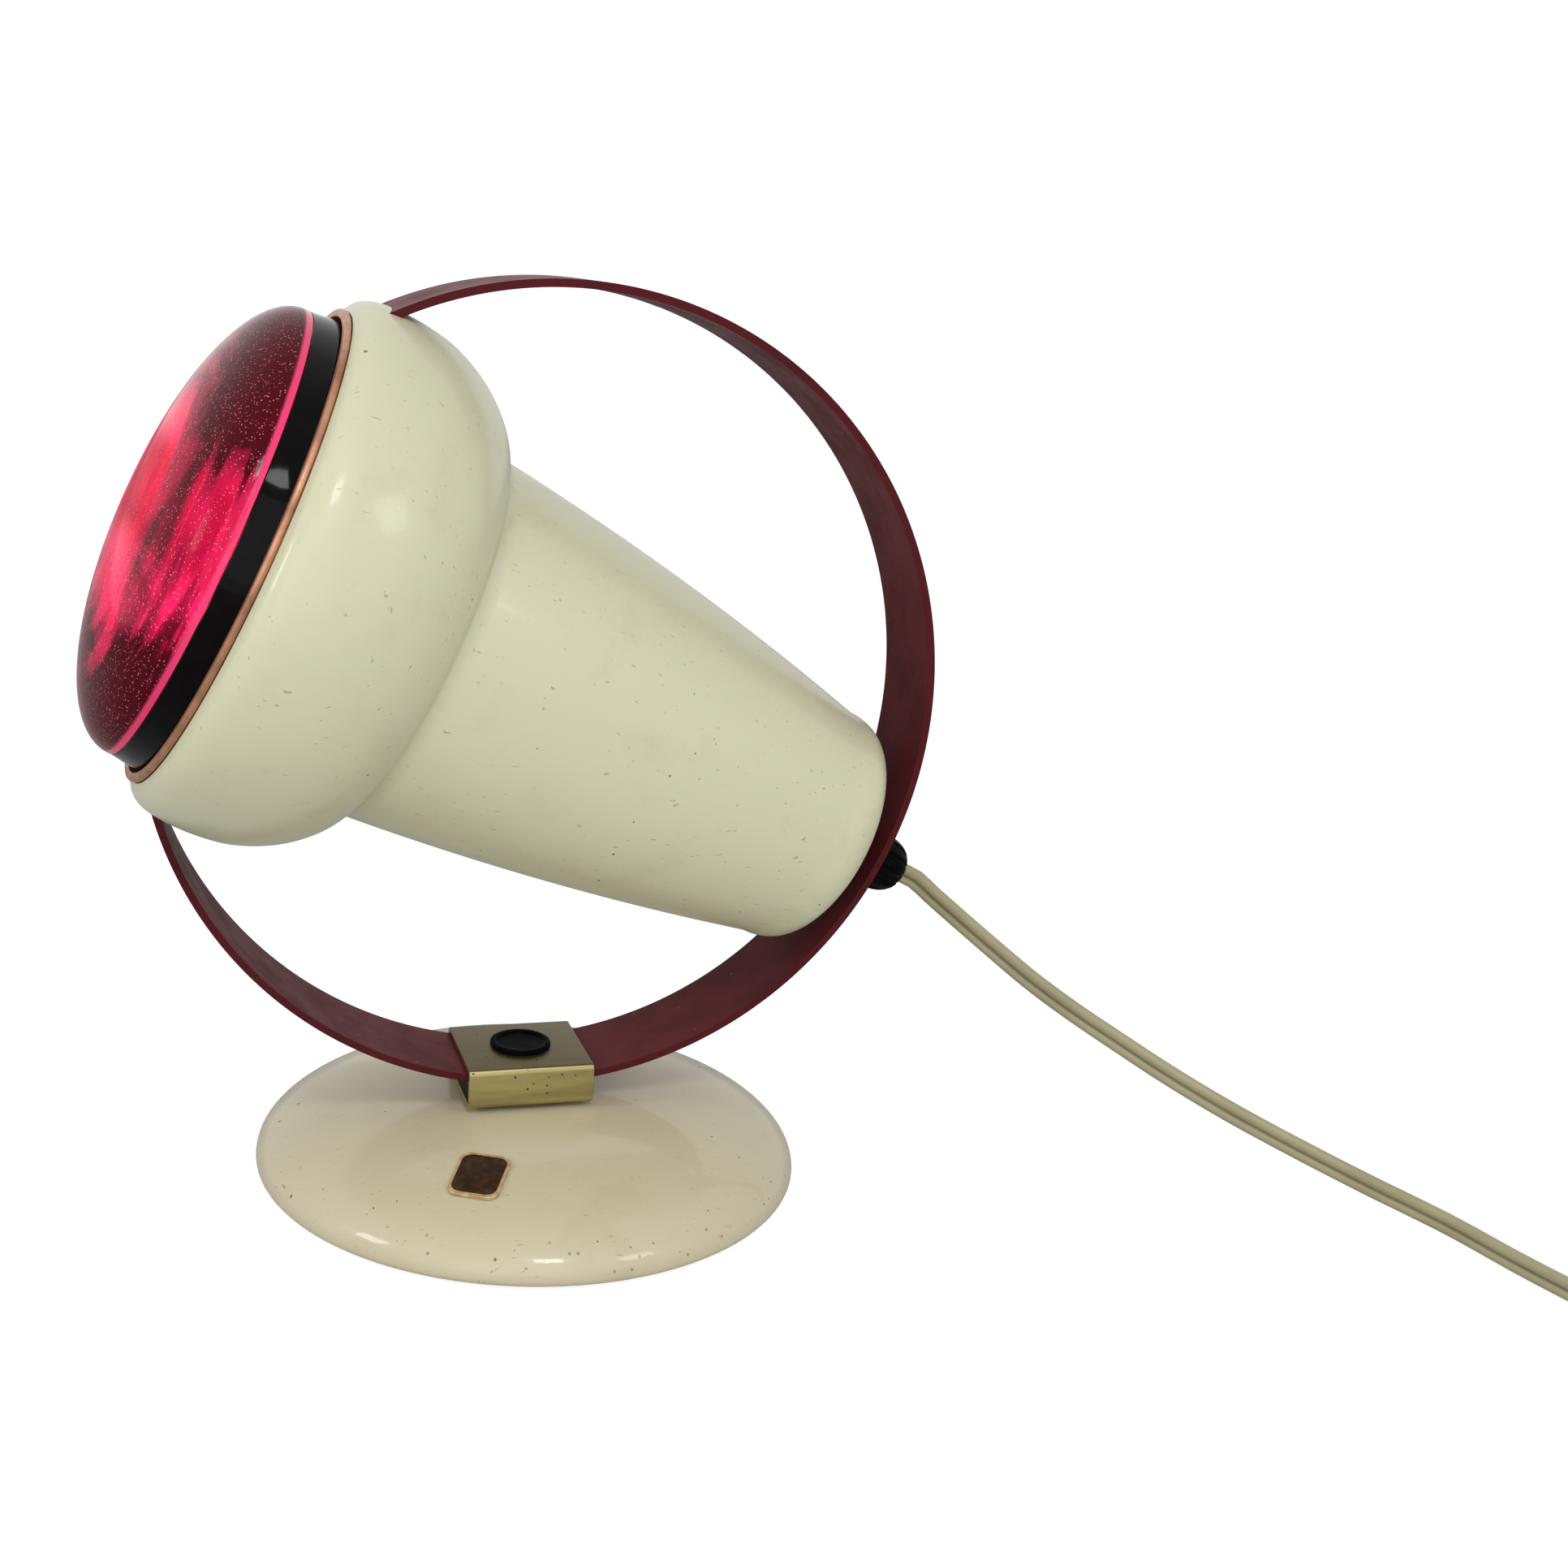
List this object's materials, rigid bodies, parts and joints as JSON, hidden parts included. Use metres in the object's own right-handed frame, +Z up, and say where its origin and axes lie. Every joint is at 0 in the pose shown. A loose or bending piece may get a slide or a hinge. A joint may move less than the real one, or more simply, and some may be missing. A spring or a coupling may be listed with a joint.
{
  "type": "infrared heat therapy lamp",
  "caption": "Table-top infrared heat lamp: a round weighted base, a swivelling saddle, and a hoop that slides through it and carries a cream shade with a ruby reflector bulb.",
  "frame": {"origin": "middle of the base's underside, on the table", "axes": "+Z up; the bulb looks towards -X and 26.5 degrees up; the hoop lies in the XZ plane; the lead leaves towards +X"},
  "size_m": [0.474, 0.3659, 0.2443],
  "materials": {
    "cream_enamel": "gloss",
    "burgundy_paint": "satin",
    "bronze_anodised": "satin",
    "copper_ring": "satin",
    "ruby_glass": "gloss",
    "dark_mirror_glass": "gloss",
    "clear_glass": "gloss",
    "dark_rubber": "satin",
    "black_plastic": "satin",
    "black_nylon": "matte",
    "zinc_steel": "satin",
    "cast_iron": "matte",
    "brass": "gloss",
    "glazed_ceramic": "gloss",
    "felt": "matte",
    "brown_plate": "gloss",
    "tungsten": "matte",
    "lead_plastic": "satin"
  },
  "bodies": {
    "base": {"base_shell": "cream_enamel", "base_plate": "cast_iron", "foot_pad": "felt", "pivot_screw": "zinc_steel", "spacer_tube": "zinc_steel", "glide_washer": "black_nylon", "lock_washer": "zinc_steel", "pivot_nut": "zinc_steel", "blank_badge": "brown_plate"},
    "clip": {"saddle": "bronze_anodised", "shoe_left": "black_nylon", "shoe_right": "black_nylon", "brake_button": "dark_rubber", "lead_free": "lead_plastic", "lead_coil": "lead_plastic", "lead_tail": "lead_plastic", "coil_tie": "black_plastic", "plug_relief": "black_plastic", "plug_body": "black_plastic", "plug_pin_a": "brass", "plug_pin_b": "brass"},
    "head": {"hoop": "burgundy_paint", "shade": "cream_enamel", "lip_liner": "copper_ring", "collar": "black_plastic", "outlet_knob": "black_plastic", "nipple": "zinc_steel", "back_nut": "zinc_steel", "holder_body": "glazed_ceramic", "socket_shell": "brass", "centre_contact": "brass", "terminal_live": "brass", "terminal_return": "brass", "core_live": "lead_plastic", "core_return": "lead_plastic", "bulb_front": "ruby_glass", "bulb_reflector": "dark_mirror_glass", "bulb_cap": "brass", "bulb_insulator": "black_plastic", "bulb_contact": "brass", "bulb_press": "clear_glass", "support_a": "tungsten", "support_b": "tungsten", "support_c": "tungsten", "filament": "tungsten"}
  },
  "joints": [
    {"name": "swivel", "type": "hinge", "parent": "base", "child": "clip", "pos_m": [0, 0, 0.0252], "axis": [0, 0, 1], "range_deg": [-170, 170]},
    {"name": "tilt", "type": "hinge", "parent": "clip", "child": "head", "pos_m": [0, 0, 0.1374], "axis": [0, 1, 0], "range_deg": [-60, 44]}
  ]
}
